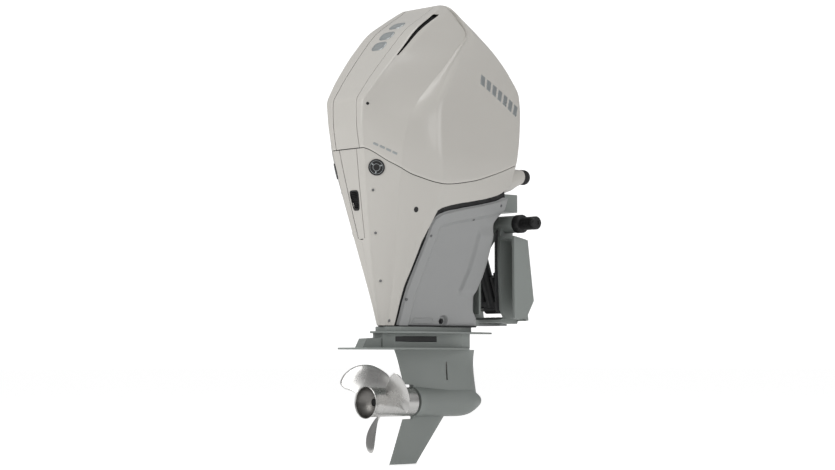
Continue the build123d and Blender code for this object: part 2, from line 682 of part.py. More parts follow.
NODES = {
    "clamp_bracket_port": clamp_bracket,
    "clamp_bracket_starboard": lambda: mirror(clamp_bracket(), about=Plane.XZ),
    "tilt_tube": tilt_tube,
    "steering_cylinder": steering_cylinder,
    "lower_tie_casting": lower_tie_casting,
    "bracket_anode": bracket_anode,
    "trim_cylinder_pin": lambda: bar_y(10, -112, 112, *RAM_FOOT),
    "trim_cylinder_barrel": trim_cylinder_barrel,
    "trim_pump_motor": trim_pump_motor,
    "trim_fluid_reservoir": trim_fluid_reservoir,
    "trim_rod": trim_rod,
    "swivel_bracket": swivel_bracket,
    "swivel_bushings": swivel_bushings,
    "trim_rod_pin": lambda: bar_y(7, -56, 56, *RAM_HEAD),
    "tilt_lock_lever": tilt_lock_lever,
    "steering_yoke": steering_yoke,
    "lower_yoke": lower_yoke,
    "mount_rubbers": mount_rubbers,
    "driveshaft_housing": driveshaft_housing,
    "adapter_plate": adapter_plate,
    "splash_plate": splash_plate,
    "crankcase": crankcase,
    "cylinder_head_port": lambda: cylinder_head(1),
    "cylinder_head_starboard": lambda: cylinder_head(-1),
    "intake_plenum": intake_plenum,
    "oil_filter": oil_filter,
    "starter_motor": starter_motor,
    "alternator_housing": alternator_housing,
    "alternator_rotor": alternator_rotor,
    "idle_relief_grille": idle_relief_grille,
    "rigging_tube": lambda: group([rigging_tube(), port_plug()]),
    "side_badges": side_badges,
    "cover_screws": cover_screws,
    "gearcase_housing": gearcase_housing,
    "water_inlet_screens": water_inlet_screens,
    "bearing_carrier": bearing_carrier,
    "gearcase_bearings": gearcase_bearings,
    "water_pump_housing": water_pump_housing,
    "shift_shaft": shift_shaft,
    "crankshaft": crankshaft,
    "flywheel": flywheel,
    "driveshaft": driveshaft,
    "pinion_gear": pinion_gear,
    "pump_impeller": pump_impeller,
    "propeller_shaft": propeller_shaft,
    "forward_gear": forward_gear,
    "reverse_gear": reverse_gear,
    "clutch_dog": clutch_dog,
    "propeller": propeller,
    "propeller_nut": propeller_nut,
    "trim_switch": trim_switch,
}


def main():
    os.makedirs("parts", exist_ok=True)
    shapes = {name: make() for name, make in NODES.items()}
    shapes.update(cowl_parts())
    for name, shape in shapes.items():
        export_step(shape, f"parts/{name}.step")


if __name__ == "__main__":
    main()
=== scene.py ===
import math
import bpy
import numpy as np
from mathutils import Matrix, Vector


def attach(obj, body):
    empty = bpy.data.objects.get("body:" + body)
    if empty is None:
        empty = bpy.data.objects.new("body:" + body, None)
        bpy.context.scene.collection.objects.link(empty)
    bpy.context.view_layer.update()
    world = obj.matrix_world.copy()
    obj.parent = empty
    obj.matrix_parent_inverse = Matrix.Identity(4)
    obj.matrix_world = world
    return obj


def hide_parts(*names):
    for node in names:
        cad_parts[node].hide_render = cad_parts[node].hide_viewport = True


# Lengths in this script are millimetres in the row frame unless a name says otherwise;
# meshes are scaled to metres where they are made.

MM = 0.001

# Cowling stations, as in the CAD source: Z, then X and half width of the tail corner,
# the quarter crease, the shoulder crease and the cheek, then X of the nose.
STATIONS = [
    (-320, (-622, 6), (-598, 28), (-552, 52), (-172, 86), -150),
    (-178, (-661, 18), (-606, 60), (-552, 92), (-158, 104), -130),
    (-48, (-694, 35), (-624, 94), (-550, 130), (-146, 134), -112),
    (52, (-717, 50), (-640, 122), (-546, 172), (-130, 164), -95),
    (156, (-740, 65), (-656, 151), (-530, 224), (-107, 185), -57),
    (252, (-760, 77), (-671, 179), (-528, 253), (-92, 195), -34),
    (342, (-777, 88), (-678, 199), (-545, 262), (-70, 203), -20),
    (440, (-792, 96), (-662, 209), (-546, 261), (-60, 206), -12),
    (511, (-794, 104), (-617, 207), (-535, 254), (-57, 206), -10),
    (579, (-755, 120), (-550, 200), (-490, 241), (-62, 205), -18),
    (660, (-692, 134), (-462, 192), (-424, 218), (-116, 202), -56),
    (735, (-628, 142), (-390, 184), (-362, 195), (-180, 190), -118),
    (808, (-560, 142), (-326, 170), (-316, 174), (-256, 170), -208),
    (870, (-472, 132), (-356, 146), (-349, 148), (-318, 144), -292),
    (902, (-424, 122), (-372, 126), (-366, 127), (-342, 123), -324),
    (922, (-400, 92), (-376, 94), (-370, 94), (-356, 91), -342),
]
NOSE_SHARE = 0.55
CORNER_RADII = (14, 14, 60, 24, 34)       # tail, quarter, shoulder, cheek, nose
CROWNS = (3, 4, 5, 4)                     # bulge of the faces between those corners
SEAM = [(-900, 345), (-790, 345), (-703, 287), (-621, 240), (-507, 213), (-361, 230),
        (-175, 279), (-60, 318), (60, 350)]
SEAM_GAP = 3.0
LOWER_EDGE = [(-580, -330), (-570, -185), (-555, -111), (-540, -38), (-532, 18), (-528, 61),
              (-519, 95), (-490, 122), (-409, 143), (-303, 161), (-211, 180),
              (-165, 194), (-105, 225), (60, 262)]
COVER_AFT = [(-564, -318), (-553, -185), (-536, -110), (-518, -37), (-509, 19), (-507, 58)]
COVER_TOP = [(-507, 58), (-496, 86), (-468, 106), (-387, 126), (-264, 149), (-174, 168), (-116, 184)]
COVER_FRONT = [(-140, -318), (-172, -281), (-190, -257), (-196, -197), (-168, -120), (-156, -40),
               (-153, 40), (-155, 82), (-113, 132), (-103, 176)]
DOOR_HALVES = [(300, 66), (511, 66), (760, 84), (870, 84), (922, 80)]     # Z and half width
PANEL_HALVES = [(-320, -1.2), (3, -1.2), (4, 18), (400, 55)]
PANEL_FOOT_Z = 4.0
CAP_Z, CAP_X, TOP_Z = 916.0, -372.0, 921.8
SLOT_Z = (690.0, 876.0)                   # roof air slots, lower and upper end
SLOT_WIDTHS = (2.0, 24.0)
SHELL = 4.0
BOSS_Y, BOSS_Z = 150.0, 272.0             # cable boot on the starboard front
TILT_X, TILT_Z = -42.0, 84.0              # tilt tube axis
GRILLE_Z, GRILLE_HEIGHT = 150.0, 38.0     # rear grille, middle and half height
BADGE_SPOT = (-735.0, 268.0)              # X and Z of the round badges
COVER_SCREWS = [(-493, 20), (-546, -220), (-284, 91), (-146, 150)]
OVAL_SPOT = (-441.0, -298.0)              # plain oval on each mid cover
QUARTER_SCREWS = [(-729, 185), (-694, 27), (-647, -151), (-597, -300)]
BLADES = [(50, 98, 13, -580, 0), (75, 126, 10, -590, 3), (110, 146, 8, -607, 7), (145, 144, 6, -627, 13),
          (172, 114, 4.5, -643, 19), (186, 70, 3, -651, 23), (191, 18, 1.5, -654, 25)]
BLADE_PITCH = 500.0
BLADE_TURNS = (87, 207, 327)              # degrees clockwise from the top, seen from astern
PROP_Z = -608.0


# ---- interpolation ----
class Curve:
    """Smooth curve through points that never overshoots them."""

    def __init__(self, at, values):
        self.at = np.array(at, float)
        self.values = np.array(values, float).reshape(len(at), -1)
        step = np.diff(self.at)[:, None]
        rise = np.diff(self.values, axis=0) / step
        slope = np.vstack([rise[:1], np.zeros_like(rise[1:]), rise[-1:]])
        product = rise[:-1] * rise[1:]
        total = np.where(product > 0, rise[:-1] + rise[1:], 1.0)
        slope[1:-1] = np.where(product > 0, 2 * product / total, 0.0)
        self.slope = slope

    def __call__(self, where):
        where = np.clip(np.atleast_1d(np.array(where, float)), self.at[0], self.at[-1])
        i = np.clip(np.searchsorted(self.at, where) - 1, 0, len(self.at) - 2)
        width = (self.at[i + 1] - self.at[i])[:, None]
        t = (where[:, None] - self.at[i][:, None]) / width
        a, b = self.values[i], self.values[i + 1]
        da, db = self.slope[i] * width, self.slope[i + 1] * width
        return a * (2 * t**3 - 3 * t**2 + 1) + da * (t**3 - 2 * t**2 + t) \
            + b * (3 * t**2 - 2 * t**3) + db * (t**3 - t**2)


def smooth_step(low, high, value):
    """Eased 0 to 1 between low and high."""
    t = np.clip((value - low) / (high - low), 0, 1)
    return t * t * (3 - 2 * t)


STATION_CURVE = Curve([s[0] for s in STATIONS], [[*s[1], *s[2], *s[3], *s[4], s[5]] for s in STATIONS])
SEAM_CURVE = Curve([x for x, z in SEAM], [z for x, z in SEAM])
EDGE_CURVE = Curve([x for x, z in LOWER_EDGE], [z for x, z in LOWER_EDGE])


# ---- cowling form ----
def arc(before, here, after, radius, count):
    """A rounded corner at here, as points from the edge before it to the edge after it."""
    into, out = here - before, after - here
    into_len, out_len = np.linalg.norm(into), np.linalg.norm(out)
    cosine = np.clip(into @ out / (into_len * out_len), -1, 1)
    reach = min(radius * math.tan(math.acos(cosine) / 2), 0.45 * into_len, 0.45 * out_len)
    start, end = here - into / into_len * reach, here + out / out_len * reach
    t = np.linspace(0, 1, count)[:, None]
    return start * (1 - t)**2 + here * 2 * t * (1 - t) + end * t**2


def bowed(start, end, count, crown):
    """Points strictly between start and end, bulging outwards by crown."""
    t = (np.arange(count) + 1.0)[:, None] / (count + 1)
    along = end - start
    out = np.array([-along[1], along[0]]) / max(np.linalg.norm(along), 1e-6)
    return start + along * t + out * crown * 4 * t * (1 - t)


def slot_width(z):
    """Width of the roof's air slots at height z."""
    share = np.clip((z - SLOT_Z[0]) / (SLOT_Z[1] - SLOT_Z[0]), 0, 1)
    return SLOT_WIDTHS[0] + (SLOT_WIDTHS[1] - SLOT_WIDTHS[0]) * share


def half_ring(z, split):
    """The port half of the cowling's outline at height z, from the tail's middle to the nose's."""
    row = STATION_CURVE(z)[0]
    corners = [row[0:2], row[2:4], row[4:6], row[6:8], np.array([row[8], row[7] * NOSE_SHARE])]
    ends = [np.array([row[0], split]), *corners, np.array([row[8], 0.0])]
    arcs = [arc(ends[i], ends[i + 1], ends[i + 2], CORNER_RADII[i], 9) for i in range(5)]
    points = [np.linspace([row[0], 0.0], [row[0], split - 1.5], 9),
              np.linspace([row[0], split + 1.5], arcs[0][0], 8, endpoint=False), arcs[0]]
    face = arcs[1][0] - arcs[0][-1]
    slot_end = arcs[0][-1] + face * min(slot_width(z) / max(np.linalg.norm(face), 1e-6), 0.4)
    points.append(np.linspace(arcs[0][-1], slot_end, 4)[1:])
    for i, count in enumerate((14, 14, 26, 8)):
        start = slot_end if i == 0 else arcs[i][-1]
        points += [bowed(start, arcs[i + 1][0], count, CROWNS[i]), arcs[i + 1]]
    points.append(np.linspace(arcs[4][-1], [row[8], 0.0], 8)[1:])
    return np.vstack(points)


INNER_COLUMNS = 9                         # columns of the door or the rear panel
SLOT_COLUMNS = (23, 28)
TABLE_Z = np.arange(-320.0, 922.5, 1.0)


UPPER_FORM = np.array([half_ring(z, np.interp(z, *zip(*DOOR_HALVES)) if z > 300 else 2.0) for z in TABLE_Z])
LOWER_FORM = np.array([half_ring(z, np.interp(z, *zip(*PANEL_HALVES))) for z in TABLE_Z])


def seam_height(form, column):
    """Height where a column of the form meets the cowl's parting seam."""
    over = TABLE_Z - SEAM_CURVE(form[:, column, 0])[:, 0]
    first = np.where((over > 0) & (TABLE_Z > 150))[0][0]
    share = over[first] / (over[first] - over[first - 1])
    return TABLE_Z[first] - share


def edge_height(form, column, seam):
    """Height where a column of the form meets the lower cowl's bottom edge."""
    under = (TABLE_Z - EDGE_CURVE(form[:, column, 0])[:, 0] < 0) & (TABLE_Z < seam)
    hits = np.where(under)[0]
    return TABLE_Z[hits[-1]] + 0.5 if len(hits) else TABLE_Z[0] + 2.0


def column_points(form, column, heights):
    """Points of one column of the form at the given heights."""
    x = np.interp(heights, TABLE_Z, form[:, column, 0])
    y = np.interp(heights, TABLE_Z, form[:, column, 1])
    return np.stack([x, y, heights], axis=1)


def skin_half(x, z, margin=0.0):
    """Half width of the cowling at X and height z, moved in by margin."""
    i = int(np.clip(round(z - TABLE_Z[0]), 0, len(TABLE_Z) - 1))
    ring = LOWER_FORM[i, 18:]
    return float(np.interp(x, ring[:, 0], ring[:, 1])) - margin


def skin_normal(x, z, side=1):
    """Outward direction of the cowling at X and height z."""
    step = 6.0
    dx = (skin_half(x + step, z) - skin_half(x - step, z)) / (2 * step)
    dz = (skin_half(x, z + step) - skin_half(x, z - step)) / (2 * step)
    return Vector((-dx, side, -dz)).normalized()


# ---- meshes ----
def mesh_object(name, points, faces):
    """A smooth-shaded mesh from points in millimetres."""
    mesh = bpy.data.meshes.new(name)
    mesh.from_pydata([tuple(p) for p in np.array(points) * MM], [], faces)
    mesh.update()
    mesh.shade_smooth()
    made = bpy.data.objects.new(name, mesh)
    bpy.context.scene.collection.objects.link(made)
    return made


def grid_faces(rows, columns, wrap=False, flip=False, keep=None):
    """Quads between neighbouring points of a grid, except where keep says no."""
    faces = []
    for r in range(rows - 1):
        for c in range(columns if wrap else columns - 1):
            if keep is not None and not keep(r, c):
                continue
            d = (c + 1) % columns
            quad = (r * columns + c, r * columns + d, (r + 1) * columns + d, (r + 1) * columns + c)
            faces.append(quad[::-1] if flip else quad)
    return faces


def grid_object(name, grid, wrap=False, flip=False, keep=None):
    """A mesh through a grid of points."""
    rows, columns = grid.shape[:2]
    return mesh_object(name, grid.reshape(-1, 3), grid_faces(rows, columns, wrap, flip, keep))


def bake(made, sharp_deg=38):
    """Applies the object's modifiers and marks its sharp edges."""
    graph = bpy.context.evaluated_depsgraph_get()
    mesh = bpy.data.meshes.new_from_object(made.evaluated_get(graph))
    made.modifiers.clear()
    made.data = mesh
    mesh.shade_smooth()
    mesh.set_sharp_from_angle(angle=math.radians(sharp_deg))
    return made


def thicken(made, thickness=SHELL, edge=1.0, offset=-1.0):
    """Gives an open skin its wall and rounds the wall's edges."""
    wall = made.modifiers.new("wall", "SOLIDIFY")
    wall.thickness, wall.offset, wall.use_rim = thickness * MM, offset, True
    if edge:
        round_edges(made, edge)
    return bake(made)


def round_edges(made, width, segments=2, angle=50):
    """Rounds the sharp edges of a piece."""
    bevel = made.modifiers.new("edge", "BEVEL")
    bevel.width, bevel.segments = width * MM, segments
    bevel.limit_method, bevel.angle_limit = "ANGLE", math.radians(angle)
    return made


def lathe(name, profile, place, segments=40):
    """A turned piece: profile is (radius, height) from the axis out, place a matrix with metres."""
    turns = np.linspace(0, 2 * math.pi, segments, endpoint=False)
    grid = np.array([[(r * math.cos(a), r * math.sin(a), h) for a in turns] for r, h in profile])
    made = grid_object(name, grid, wrap=True)
    made.data.transform(place)
    made.data.update()
    made.data.set_sharp_from_angle(angle=math.radians(38))
    return made


def place_on(point, axis):
    """A matrix in metres whose Z runs along axis and whose origin is point."""
    turn = Vector(axis).to_track_quat("Z", "Y").to_matrix().to_4x4()
    return Matrix.Translation(Vector(point) * MM) @ turn


def slab(name, outline, y0, y1, edge=1.5, segments=3):
    """A plate with an X and Z outline between y0 and y1, its edges rounded."""
    count = len(outline)
    points = [(x, y0, z) for x, z in outline] + [(x, y1, z) for x, z in outline]
    faces = [tuple(range(count)), tuple(range(2 * count - 1, count - 1, -1))]
    faces += [(i, i + count, (i + 1) % count + count, (i + 1) % count) for i in range(count)]
    made = mesh_object(name, points, faces)
    round_edges(made, edge, segments, 30)
    return bake(made)


def join(name, parts):
    """One object out of several that share a material."""
    with bpy.context.temp_override(active_object=parts[0], selected_editable_objects=parts):
        bpy.ops.object.join()
    parts[0].name = name
    return parts[0]


# ---- materials ----
def linear(rgb):
    """Linear colour from 0 to 255 display values."""
    return tuple(((c / 255 + 0.055) / 1.055)**2.4 if c > 10 else c / 255 / 12.92 for c in rgb) + (1.0,)


def shade(rgb, gain, lift=0.0):
    """A lighter or darker linear colour."""
    return tuple(min(c * gain + lift, 1.0) for c in linear(rgb)[:3]) + (1.0,)


def add_node(tree, kind, **values):
    """Adds a shader node and sets its properties or inputs."""
    node = tree.nodes.new(kind)
    for key, value in values.items():
        if hasattr(node, key):
            setattr(node, key, value)
        else:
            node.inputs[key.replace("_", " ")].default_value = value
    return node


def finish_material(name, rgb, rough, metal=0.0, coat=0.0, mottle=0.05, grain=900.0, bump=0.15,
                    wear=0.25, streak=1.0, soft_edge=0.0):
    """A painted or bare surface with uneven tone and gloss, fine grain, and lighter worn edges."""
    made = bpy.data.materials.new(name)
    made.use_nodes = True
    tree = made.node_tree
    shader = tree.nodes["Principled BSDF"]
    shader.inputs["Metallic"].default_value = metal
    shader.inputs["Coat Weight"].default_value = coat
    shader.inputs["Coat Roughness"].default_value = 0.12
    spot = add_node(tree, "ShaderNodeTexCoord").outputs["Object"]
    stretch = add_node(tree, "ShaderNodeMapping")
    stretch.inputs["Scale"].default_value = (1.0, 1.0, streak)
    tree.links.new(spot, stretch.inputs["Vector"])
    tone = add_node(tree, "ShaderNodeTexNoise", Scale=3.5, Detail=5.0)
    fine = add_node(tree, "ShaderNodeTexNoise", Scale=grain, Detail=3.0)
    smear = add_node(tree, "ShaderNodeTexNoise", Scale=22.0, Detail=6.0)
    for node in (tone, fine, smear):
        tree.links.new(stretch.outputs["Vector"], node.inputs["Vector"])
    body = add_node(tree, "ShaderNodeMix", data_type="RGBA")
    body.inputs[6].default_value = shade(rgb, 1 - mottle)
    body.inputs[7].default_value = shade(rgb, 1 + mottle)
    tree.links.new(tone.outputs["Fac"], body.inputs["Factor"])
    edge = add_node(tree, "ShaderNodeMapRange", From_Min=0.52, From_Max=0.6, To_Max=wear)
    tree.links.new(add_node(tree, "ShaderNodeNewGeometry").outputs["Pointiness"], edge.inputs["Value"])
    worn = add_node(tree, "ShaderNodeMix", data_type="RGBA")
    worn.inputs[7].default_value = shade(rgb, 1.35, 0.04)
    tree.links.new(edge.outputs["Result"], worn.inputs["Factor"])
    tree.links.new(body.outputs[2], worn.inputs[6])
    tree.links.new(worn.outputs[2], shader.inputs["Base Color"])
    gloss = add_node(tree, "ShaderNodeMapRange", From_Min=0.3, From_Max=0.7,
                     To_Min=rough * 0.85, To_Max=min(rough * 1.2, 1.0))
    tree.links.new(smear.outputs["Fac"], gloss.inputs["Value"])
    tree.links.new(gloss.outputs["Result"], shader.inputs["Roughness"])
    relief = add_node(tree, "ShaderNodeBump", Strength=bump, Distance=0.0004)
    tree.links.new(fine.outputs["Fac"], relief.inputs["Height"])
    if soft_edge:
        bevel = add_node(tree, "ShaderNodeBevel", samples=4, Radius=soft_edge * MM)
        tree.links.new(bevel.outputs["Normal"], relief.inputs["Normal"])
    tree.links.new(relief.outputs["Normal"], shader.inputs["Normal"])
    return made


MATERIALS = {
    "cowl_paint": finish_material("cowl_paint", (199, 196, 190), 0.34, coat=0.35, mottle=0.015, bump=0.03,
                                  wear=0.15),
    "cover_grey": finish_material("cover_grey", (157, 158, 158), 0.45, mottle=0.03, bump=0.12),
    "casting_grey": finish_material("casting_grey", (134, 139, 136), 0.42, mottle=0.05, bump=0.2,
                                    soft_edge=1.6),
    "block_black": finish_material("block_black", (38, 39, 40), 0.5, mottle=0.1, bump=0.3, soft_edge=1.0),
    "trim_black": finish_material("trim_black", (14, 14, 15), 0.45, mottle=0.15, bump=0.2, wear=0.1),
    "rubber": finish_material("rubber", (28, 28, 29), 0.7, mottle=0.15, bump=0.35, wear=0.15),
    "steel": finish_material("steel", (120, 121, 122), 0.35, metal=1.0, mottle=0.1, bump=0.15, streak=0.2,
                             soft_edge=0.5),
    "stainless": finish_material("stainless", (208, 207, 205), 0.27, metal=1.0, mottle=0.05, bump=0.05,
                                 grain=500.0, streak=0.15),
    # dull stainless for the inlet screens; on the hub's bowl its dark tone is painted shade
    "dull_stainless_and_shade": finish_material("dull_stainless_and_shade", (128, 126, 123), 0.4, metal=1.0, mottle=0.1,
                                      bump=0.15),
    "alloy": finish_material("alloy", (150, 152, 153), 0.45, metal=0.8, mottle=0.08, bump=0.3, soft_edge=1.0),
    "silver_trim": finish_material("silver_trim", (168, 173, 174), 0.3, metal=0.6, mottle=0.05, bump=0.05),
}


def dress(made, material, body, stands_for=()):
    """Gives a piece its material and body, and hides the CAD nodes that it stands for."""
    made.data.materials.clear()
    made.data.materials.append(MATERIALS[material])
    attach(made, body)
    if stands_for:
        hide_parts(*stands_for)
    return made


# ---- the cowlings ----
def both_halves(form, heights_of, first, last, rows, cap=None):
    """Grid of points round the cowling from the port tail, over the nose, to the starboard tail."""
    columns = []
    for c in range(first, last):
        heights = np.linspace(*heights_of(c), rows)
        points = column_points(form, c, heights)
        if cap is not None:
            points = np.vstack([points, cap(points[-1])])
        columns.append(points)
    port = np.array(columns)
    starboard = port[::-1] * np.array([1, -1, 1])
    if cap is None:
        return port.transpose(1, 0, 2)
    return np.concatenate([port[:-1], starboard]).transpose(1, 0, 2)


def cap_points(centre_x):
    """The rows that close the cowl's top onto a line across it."""
    def rows(rim):
        middle = np.array([centre_x, np.clip(rim[1], -86, 86), CAP_Z])
        made = []
        for share in np.linspace(0, 1, 8)[1:]:
            point = rim + (middle - rim) * share
            point[2] = CAP_Z + (TOP_Z - CAP_Z) * math.sin(share * math.pi / 2)
            made.append(point)
        return np.array(made)
    return rows


def top_cowl():
    """The lift-off cowl over the powerhead and the service door in its top."""
    rows = 110
    last = UPPER_FORM.shape[1]
    seams = {c: seam_height(UPPER_FORM, c) for c in range(last)}
    cap = cap_points(CAP_X + 1.5)
    grid = both_halves(UPPER_FORM, lambda c: (seams[c], CAP_Z), INNER_COLUMNS, last, rows, cap)
    count = grid.shape[1]
    low, high = (c - INNER_COLUMNS for c in SLOT_COLUMNS)

    def keep(r, c):
        near = min(c, count - 2 - c)
        in_slot = SLOT_Z[0] < grid[r, c, 2] and grid[min(r + 1, len(grid) - 1), c, 2] < SLOT_Z[1]
        return not (low <= near < high and in_slot)

    shell = thicken(grid_object("cowl_shell_skin", grid, flip=True, keep=keep))
    dress(shell, "cowl_paint", "top_cowl", stands_for=["cowl_shell"])
    door_grid = both_halves(UPPER_FORM, lambda c: (seams[c], CAP_Z), 0, INNER_COLUMNS, rows)
    cap = np.array([cap_points(CAP_X - 1.5)(p) for p in door_grid[-1]]).transpose(1, 0, 2)
    half = np.concatenate([door_grid, cap])
    full = np.concatenate([half[:, :0:-1] * np.array([1, -1, 1]), half], axis=1)
    door = thicken(grid_object("service_door_skin", full, flip=True))
    dress(door, "cowl_paint", "service_door", stands_for=["service_door"])


def slot_liners():
    """Black louvred ducts behind the roof's air slots."""
    parts = []
    heights = np.linspace(SLOT_Z[0] - 6, SLOT_Z[1] + 6, 70)
    for side in (1, -1):
        columns = []
        for c in range(SLOT_COLUMNS[0] - 3, SLOT_COLUMNS[1] + 3):
            points = column_points(UPPER_FORM, c, heights)
            ripple = 1.2 * np.sin(heights * 0.35)
            points += np.array([10.0, -9.0, -6.0])
            points[:, 1] += ripple
            columns.append(points * np.array([1, side, 1]))
        parts.append(thicken(grid_object("liner", np.array(columns), flip=side < 0), 1.5, 0))
    liner = join("air_slot_liners", parts)
    dress(liner, "trim_black", "top_cowl", stands_for=["air_slot_grilles"])


def cable_boss():
    """The arm on the starboard lower cowl that carries the cable boot."""
    rings = []
    sections = [(-150, 240, 40, 30), (-100, 246, 43, 32), (-60, 257, 41, 31), (-30, 267, 34, 30),
                (-10, 271, 30, 29), (-5, 272, 28.5, 28.5), (-4, 272, 27, 27), (-5, 272, 25.8, 25.8),
                (-50, 272, 25.8, 25.8)]
    for x, z, height, width in sections:
        turns = np.linspace(0, 2 * math.pi, 40, endpoint=False)
        rings.append([(x, -BOSS_Y + width * math.cos(a), z + height * math.sin(a)) for a in turns])
    made = grid_object("cable_boss", np.array(rings), wrap=True, flip=True)
    made.data.set_sharp_from_angle(angle=math.radians(38))
    return made


def lower_cowls():
    """The two lower cowls, the cable boss and the rear panel around its grille."""
    last = LOWER_FORM.shape[1]
    rows = 120
    seams = {c: seam_height(LOWER_FORM, c) - SEAM_GAP for c in range(last)}
    edges = {c: edge_height(LOWER_FORM, c, seams[c]) for c in range(last)}
    grid = both_halves(LOWER_FORM, lambda c: (edges[c], seams[c]), INNER_COLUMNS, last, rows)
    for side, node in ((1, "lower_cowl_port"), (-1, "lower_cowl_starboard")):
        made = thicken(grid_object(node + "_skin", grid * np.array([1, side, 1]), flip=side > 0))
        if side < 0:
            made = join(node + "_skin", [made, cable_boss()])
        dress(made, "cowl_paint", "engine", stands_for=[node])
    inner = both_halves(LOWER_FORM, lambda c: (PANEL_FOOT_Z + 2.5, seams[c]), 0, INNER_COLUMNS, 90)
    full = np.concatenate([inner[:, :0:-1] * np.array([1, -1, 1]), inner], axis=1)

    def keep(r, c):
        corners = full[r:r + 2, c:c + 2].reshape(-1, 3)
        return not all(abs(y) < 0.9 * grille_half(z) and abs(z - GRILLE_Z) < 0.9 * GRILLE_HEIGHT
                       for _, y, z in corners)

    panel = thicken(grid_object("rear_panel_skin", full, flip=True, keep=keep))
    dress(panel, "cowl_paint", "engine", stands_for=["rear_panel"])


# ---- mid covers ----
def resample(points, count):
    """Evenly spaced points on a smooth curve through the given ones."""
    points = np.array(points, float)
    lengths = np.concatenate([[0], np.cumsum(np.linalg.norm(np.diff(points, axis=0), axis=1))])
    smooth = Curve(lengths, points)
    return smooth(np.linspace(0, lengths[-1], count))


def patch(aft, front, foot, head, rows, columns):
    """A grid that follows four boundary lines, foot and head running from aft to front."""
    a, f = resample(aft, rows), resample(front, rows)
    b, t = resample(foot, columns), resample(head, columns)
    u = np.linspace(0, 1, columns)[None, :, None]
    v = np.linspace(0, 1, rows)[:, None, None]
    sides = a[:, None] * (1 - u) + f[:, None] * u
    ends = b[None] * (1 - v) + t[None] * v
    corners = a[0] * (1 - u) * (1 - v) + f[0] * u * (1 - v) + a[-1] * (1 - u) * v + f[-1] * u * v
    return sides + ends - corners


def distance_to(line, points):
    """Shortest distance from each point to a polyline."""
    best = np.full(points.shape[:2], 1e9)
    for start, end in zip(np.array(line[:-1], float), np.array(line[1:], float)):
        along = end - start
        t = np.clip(((points - start) @ along) / (along @ along), 0, 1)
        gap = np.linalg.norm(points - start - t[..., None] * along, axis=2)
        best = np.minimum(best, gap)
    return best


COVER_INSET = 4.0
BOLT_POCKET = (-342.0, -299.0)


def cover_depth(flat):
    """How far each point of a mid cover lies in from the cowling's form."""
    rim = np.minimum(distance_to(COVER_AFT, flat), distance_to(COVER_TOP, flat))
    depth = 12 * smooth_step(44, 60, rim)
    front = distance_to(COVER_FRONT, flat)
    channel = 1 - smooth_step(74, 92, front)
    channel *= smooth_step(-205, -175, flat[..., 1]) * (1 - smooth_step(20, 75, flat[..., 1]))
    depth = depth * (1 - channel)
    depth += 7 * (1 - smooth_step(0, 9, rim)) + 5 * (1 - smooth_step(0, 8, front))
    pocket = np.linalg.norm(flat - np.array(BOLT_POCKET), axis=2)
    return depth + 14 * (1 - smooth_step(15, 24, pocket))


def mid_covers():
    """Grey covers on both sides of the midsection."""
    flat = patch(COVER_AFT, COVER_FRONT, [COVER_AFT[0], COVER_FRONT[0]],
                 [COVER_AFT[-1], *COVER_TOP[1:], COVER_FRONT[-1]], 190, 150)
    depth = COVER_INSET + cover_depth(flat)
    half = np.array([[skin_half(x, z) for x, z in row] for row in flat]) - depth
    grid = np.stack([flat[..., 0], half, flat[..., 1]], axis=2)
    for side, node in ((1, "mid_cover_port"), (-1, "mid_cover_starboard")):
        made = thicken(grid_object(node + "_skin", grid * np.array([1, side, 1]), flip=side > 0), 3.5)
        dress(made, "cover_grey", "engine", stands_for=[node])


def gap_shade_strips():
    """Black strips behind the gap between each lower cowl and its mid cover, painted shade that keeps the gap
    dark.
    """
    path = resample([(-574, -318), *COVER_AFT[1:-1], *COVER_TOP[1:]], 120)
    ahead = np.gradient(path, axis=0)
    ahead /= np.linalg.norm(ahead, axis=1)[:, None]
    out = np.stack([-ahead[:, 1], ahead[:, 0]], axis=1)
    parts = []
    for side in (1, -1):
        rows = []
        for shift, margin in ((40, 20), (28, 17), (14, 15), (0, 15), (-12, 17), (-24, 21)):
            line = path + out * shift
            rows.append([(x, side * skin_half(x, z, margin), z) for x, z in line])
        parts.append(thicken(grid_object("shade_strip", np.array(rows), flip=side < 0), 2.0, 0))
    liner = join("cover_gap_shade_strips", parts)
    # the dark rubber finish of these strips is painted shade, standing for the shadow inside the gap
    dress(liner, "rubber", "engine")


# ---- fittings on the cowlings ----
def tail_x(z):
    """Aft end of the cowling at height z."""
    return float(STATION_CURVE(z)[0][0])


def grille_half(z):
    """Half width of the rear grille at height z."""
    return float(np.interp(z, (112, 188), (17, 26)))


def rounded_ring(half_width, half_height, power, count):
    """A rounded rectangle about the origin, as a superellipse."""
    turns = np.linspace(0, 2 * math.pi, count, endpoint=False)
    cosine, sine = np.cos(turns), np.sin(turns)
    across = half_width * np.sign(cosine) * np.abs(cosine)**(2 / power)
    up = half_height * np.sign(sine) * np.abs(sine)**(2 / power)
    return np.stack([across, up], axis=1)


def rear_grille():
    """Louvred grille let into the rear panel."""
    rings = []
    for share, lift in ((1.0, -2), (1.0, 1.6), (0.97, 2.4), (0.86, 2.4), (0.84, 1.4), (0.83, -9), (0.0, -9)):
        ring = rounded_ring(share, share, 5, 64)
        rings.append([(tail_x(GRILLE_Z + up * GRILLE_HEIGHT) - lift,
                       across * grille_half(GRILLE_Z + up * GRILLE_HEIGHT), GRILLE_Z + up * GRILLE_HEIGHT)
                      for across, up in ring])
    parts = [grid_object("grille_frame", np.array(rings), wrap=True)]
    for z in np.arange(GRILLE_Z - 28, GRILLE_Z + 30, 7.0):
        half = 0.8 * grille_half(z)
        slat = [[(tail_x(z) + back, y, z + rise) for y in np.linspace(-half, half, 7)]
                for back, rise in ((8, 4.5), (4, 2.5), (0.5, 0), (1.0, -1.2), (4.5, 1.2), (8, 3.2))]
        parts.append(thicken(grid_object("slat", np.array(slat)), 0.8, 0))
    grille = join("rear_grille", parts)
    dress(grille, "trim_black", "engine", stands_for=["idle_relief_grille"])


